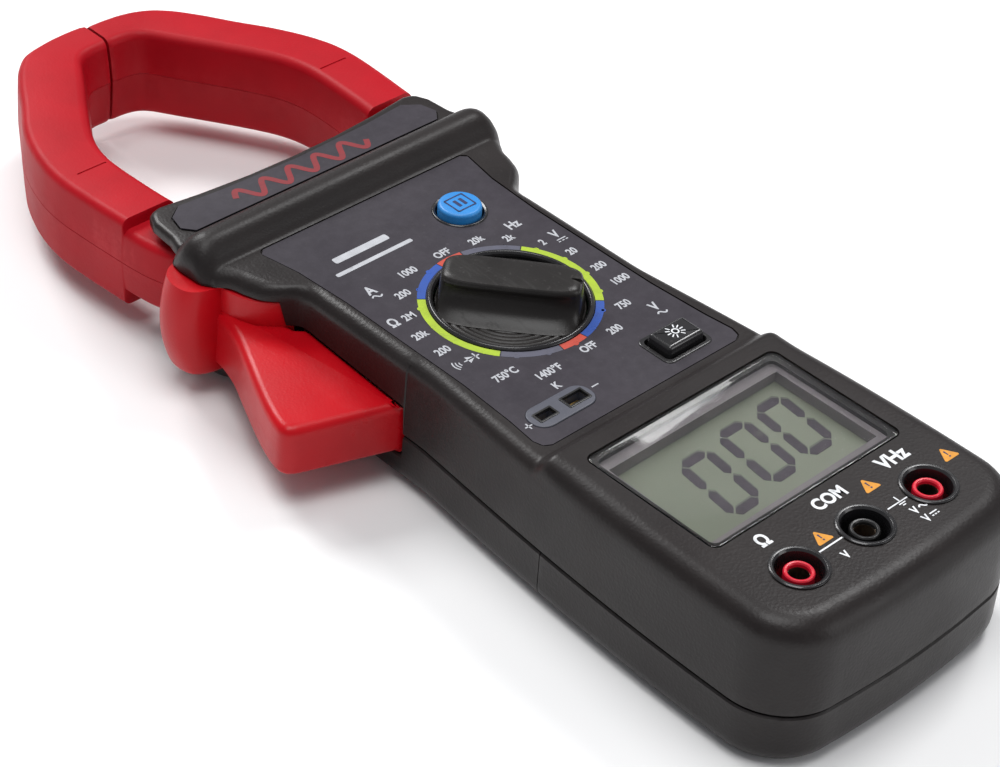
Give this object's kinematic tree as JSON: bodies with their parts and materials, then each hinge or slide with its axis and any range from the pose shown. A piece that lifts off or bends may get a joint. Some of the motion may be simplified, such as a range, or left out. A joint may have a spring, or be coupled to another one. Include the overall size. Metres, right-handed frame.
{
  "type": "clamp meter",
  "caption": "Hand-held clamp meter: black case, red hinged jaw with side trigger, range dial, digital display, buttons and probe sockets.",
  "frame": {"origin": "on the back plane, under the dial's axis", "axes": "+Y to the jaw tip, +X to the right of the face, +Z out of the face"},
  "size_m": [0.0955, 0.2528, 0.038],
  "materials": {
    "case": "black satin-textured moulding",
    "label": "dark grey-violet printed film",
    "lens": "clear acrylic window",
    "lcd": "grey-green display glass",
    "grey_plastic": "grey display surround",
    "white_plastic": "milky light guide",
    "elastomer": "conductive rubber strip",
    "board": "green glass-epoxy board",
    "black_epoxy": "black epoxy package",
    "capacitor": "blue sleeve",
    "brass": "brass",
    "battery": "wrapped steel can",
    "steel": "bright nickel plate",
    "iron": "laminated silicon steel",
    "copper": "enamelled copper winding",
    "socket_red": "bright red insulator",
    "socket_black": "black insulator",
    "gloss_black": "gloss black moulding",
    "tc_plate": "blue-grey moulding",
    "rotor": "ivory acetal",
    "jaw": "crimson moulding, fine matt texture",
    "trigger": "bright red moulding, satin",
    "hold_blue": "sky blue button"
  },
  "bodies": {
    "meter": {"front_case": "case", "back_case": "case", "battery_cover": "case", "face_label": "label", "head_label": "label", "lens_window": "lens", "lcd_panel": "lcd", "lcd_frame": "grey_plastic", "backlight": "white_plastic", "zebra_strips": "elastomer", "main_pcb": "board", "measuring_ic": "black_epoxy", "small_parts": "black_epoxy", "electrolytic_caps": "capacitor", "buzzer": "brass", "battery": "battery", "battery_snap": "gloss_black", "battery_tray": "case", "ohm_socket": "socket_red", "com_socket": "socket_black", "volt_socket": "socket_red", "socket_rings": "gloss_black", "socket_tubes": "steel", "thermocouple_socket": "tc_plate", "thermocouple_contacts": "brass", "hold_switch": "steel", "light_switch": "steel", "dial_bezel": "gloss_black", "fixed_jaw_upper": "jaw", "fixed_jaw_lower": "jaw", "fixed_core": "iron", "fixed_coil": "copper", "pivot_pin": "steel", "jaw_spring": "steel", "case_screws": "steel", "cover_screws": "steel", "jaw_screws": "steel", "board_screws": "steel"},
    "moving_jaw": {"moving_jaw_upper": "jaw", "moving_jaw_lower": "jaw", "moving_core": "iron", "moving_coil": "copper", "trigger": "trigger", "trigger_screws": "steel"},
    "range_knob": {"knob": "gloss_black", "switch_rotor": "rotor", "wiper_contacts": "brass", "detent_balls": "steel"},
    "hold_key": {"hold_button": "hold_blue"},
    "light_key": {"light_button": "gloss_black"}
  },
  "joints": [
    {"name": "jaw_hinge", "type": "hinge", "parent": "meter", "child": "moving_jaw", "pos_m": [-0.024, 0.044, 0.0155], "axis": [0, 0, 1], "range_deg": [0, 28], "stiffness_Nm_per_rad": 0.9, "springref_deg": -20.05},
    {"name": "range_dial", "type": "hinge", "parent": "meter", "child": "range_knob", "pos_m": [0, 0, 0.03], "axis": [0, 0, 1], "continuous": true},
    {"name": "hold_press", "type": "slide", "parent": "meter", "child": "hold_key", "axis": [0, 0, -1], "range_m": [0, 0.0012], "stiffness_N_per_m": 900, "springref_m": -0.0012},
    {"name": "light_press", "type": "slide", "parent": "meter", "child": "light_key", "axis": [0, 0, -1], "range_m": [0, 0.0012], "stiffness_N_per_m": 900, "springref_m": -0.0012}
  ]
}
